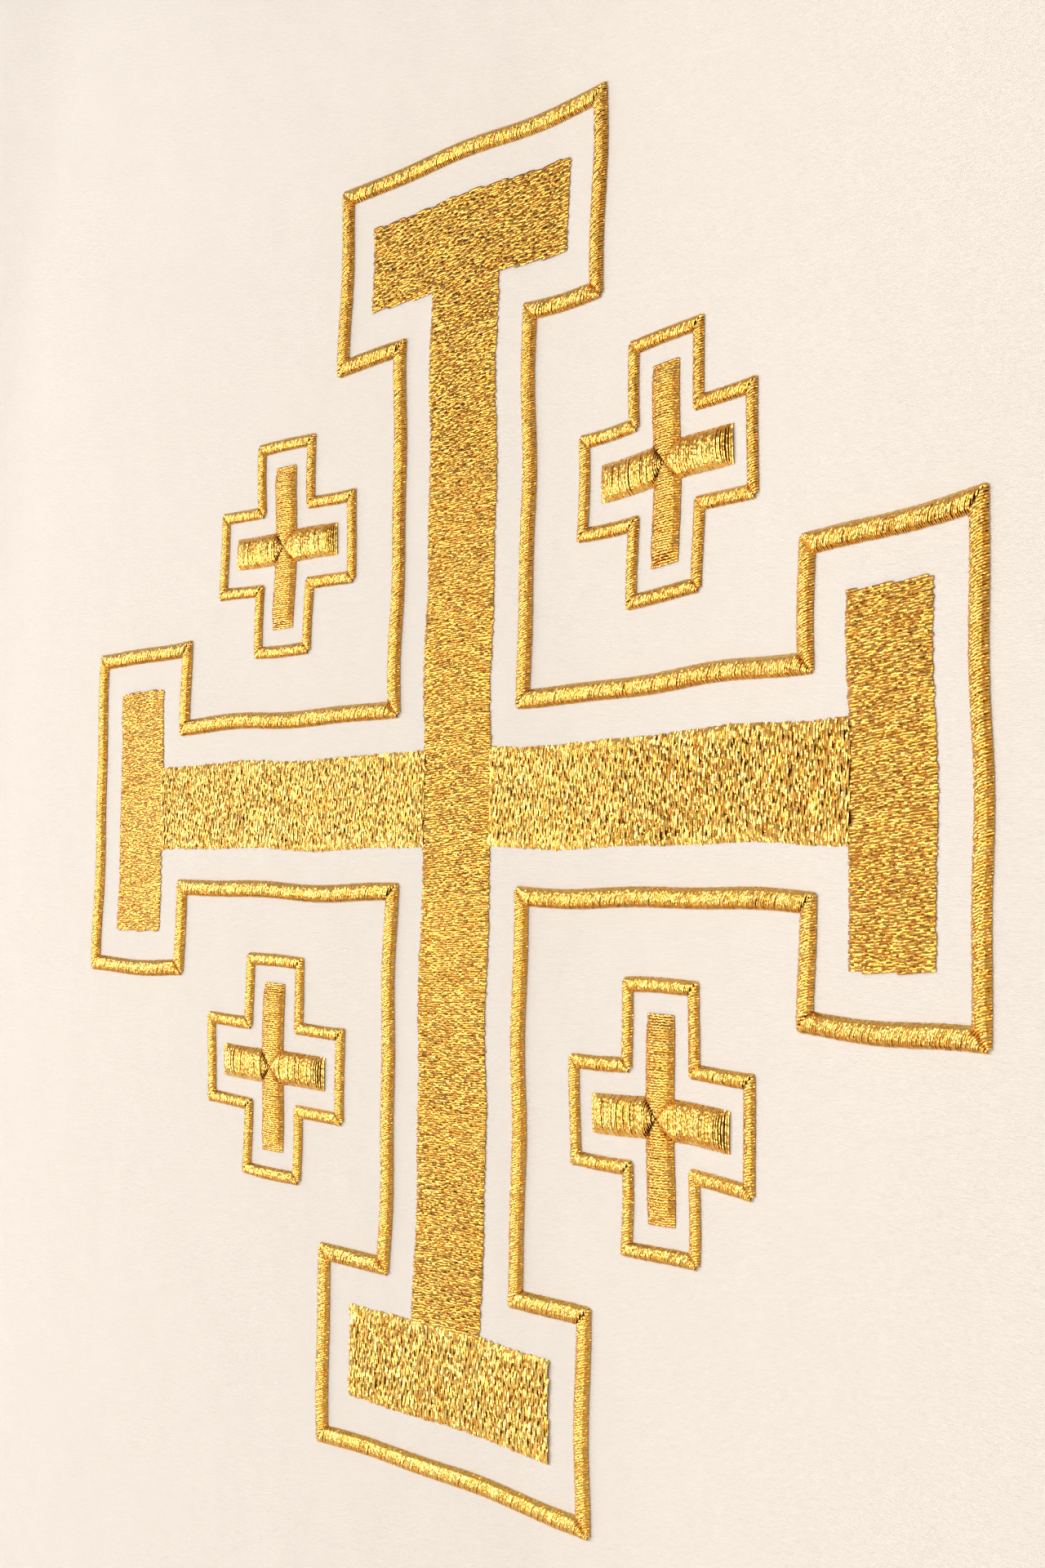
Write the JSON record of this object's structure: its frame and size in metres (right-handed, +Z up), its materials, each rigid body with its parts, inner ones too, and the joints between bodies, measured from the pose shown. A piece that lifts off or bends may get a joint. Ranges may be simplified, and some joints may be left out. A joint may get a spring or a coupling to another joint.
{
  "type": "gothic chasuble, filled out as worn, with an embroidered Jerusalem cross",
  "caption": "Cream Gothic chasuble that falls in soft folds from an open neck, with a gold machine-embroidered Jerusalem cross on the front.",
  "frame": {"origin": "between the shoulders, level with the top of the shoulder seams, where the wearer holds the garment up", "axes": "+Z up; the front faces -Y; +X is towards the wearer's left hand"},
  "size_m": [0.7415, 0.4627, 1.2196],
  "materials": {
    "cloth": "matt cream crepe with a faint cross slub",
    "gold_thread": "shiny gold metallic embroidery thread"
  },
  "bodies": {
    "root": {"front_panel": "cloth", "back_panel": "cloth", "neck_band": "cloth", "potent_cross": "gold_thread", "potent_cord": "gold_thread", "small_cross_upper_right": "gold_thread", "small_cord_upper_right": "gold_thread", "small_cross_upper_left": "gold_thread", "small_cord_upper_left": "gold_thread", "small_cross_lower_left": "gold_thread", "small_cord_lower_left": "gold_thread", "small_cross_lower_right": "gold_thread", "small_cord_lower_right": "gold_thread"}
  },
  "joints": []
}
